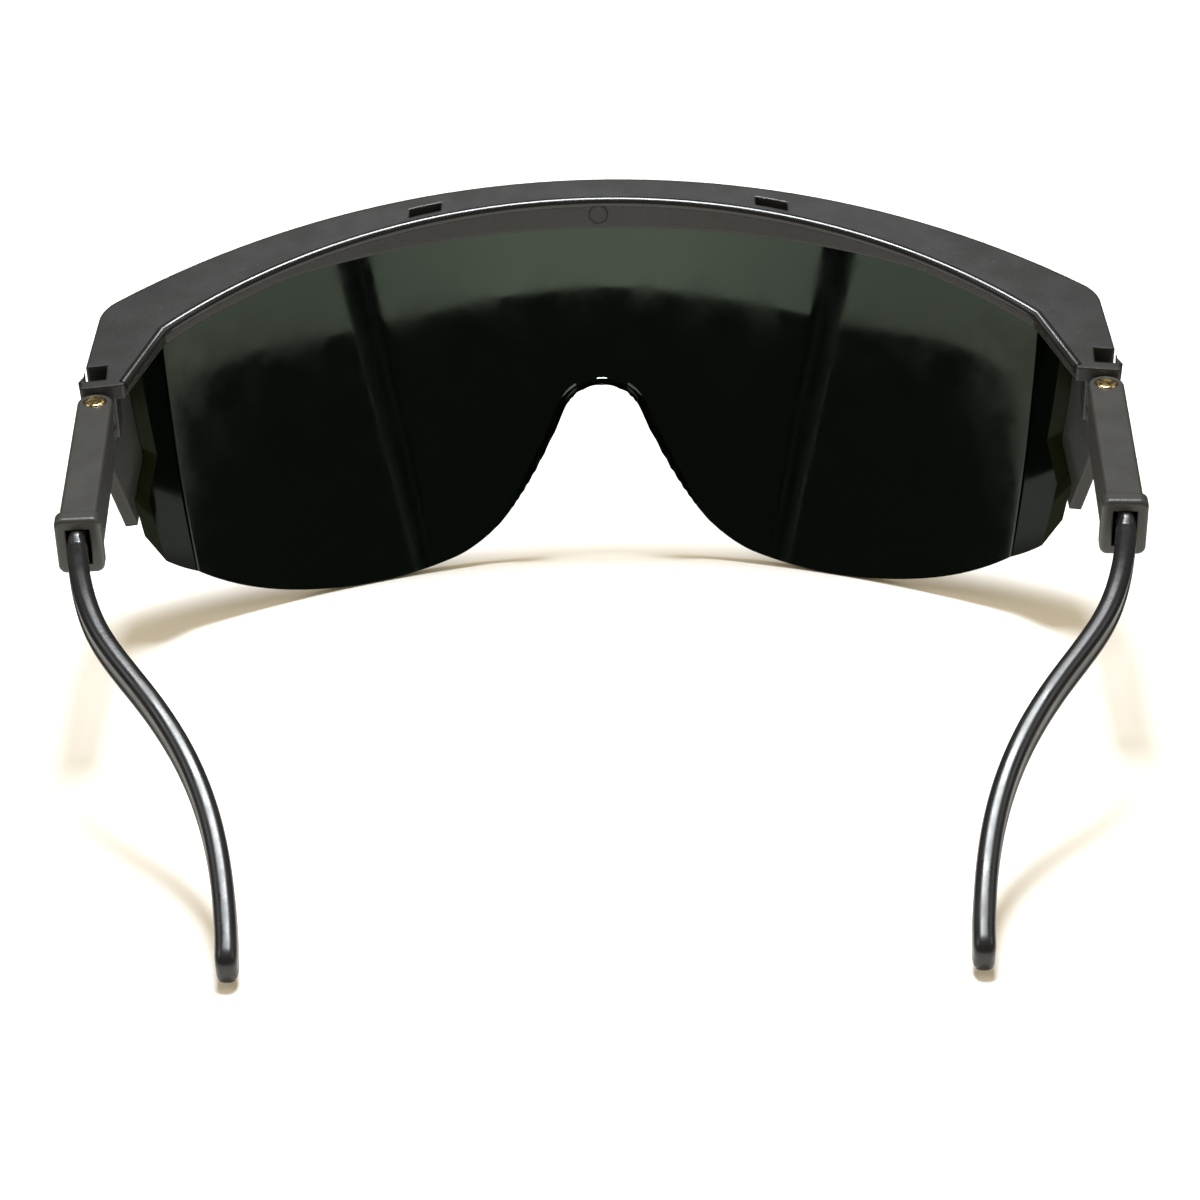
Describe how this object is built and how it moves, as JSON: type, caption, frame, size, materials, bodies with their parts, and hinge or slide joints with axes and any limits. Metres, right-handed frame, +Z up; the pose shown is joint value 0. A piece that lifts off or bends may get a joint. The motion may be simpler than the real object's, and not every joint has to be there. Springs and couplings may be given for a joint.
{
  "type": "welding spectacles",
  "caption": "Over-the-glasses welding spectacles: wrap-round dark shade lens in a brow frame with side shields, folding temples and arms that telescope in short sleeves.",
  "frame": {"origin": "middle of the footprint, on the surface that the spectacles stand on", "axes": "+Z up, the wearer looks along -Y, +X is the wearer's left"},
  "size_m": [0.161, 0.156, 0.0636],
  "materials": {
    "frame_plastic": "moulded black, satin on top and glossy on its inner edges",
    "shade_lens": "polished dark green welding shade, almost opaque",
    "sleeve_plastic": "moulded black, matte",
    "arm_plastic": "polished black",
    "pin_brass": "turned brass"
  },
  "bodies": {
    "front": {"frame": "frame_plastic", "lens": "shade_lens"},
    "left_temple": {"left_sleeve": "sleeve_plastic", "left_hinge_pin": "pin_brass"},
    "right_temple": {"right_sleeve": "sleeve_plastic", "right_hinge_pin": "pin_brass"},
    "left_arm": {"left_arm": "arm_plastic"},
    "right_arm": {"right_arm": "arm_plastic"}
  },
  "joints": [
    {"name": "left_fold", "type": "hinge", "parent": "front", "child": "left_temple", "pos_m": [0.0774, -0.0267, 0.0393], "axis": [0, 0.1736, 0.9848], "range_deg": [0, 88]},
    {"name": "right_fold", "type": "hinge", "parent": "front", "child": "right_temple", "pos_m": [-0.0774, -0.0267, 0.0393], "axis": [0, -0.1736, -0.9848], "range_deg": [0, 72]},
    {"name": "left_extend", "type": "slide", "parent": "left_temple", "child": "left_arm", "axis": [-0.0785, 0.9818, -0.1731], "range_m": [0, 0.012]},
    {"name": "right_extend", "type": "slide", "parent": "right_temple", "child": "right_arm", "axis": [0.0785, 0.9818, -0.1731], "range_m": [0, 0.012]}
  ]
}
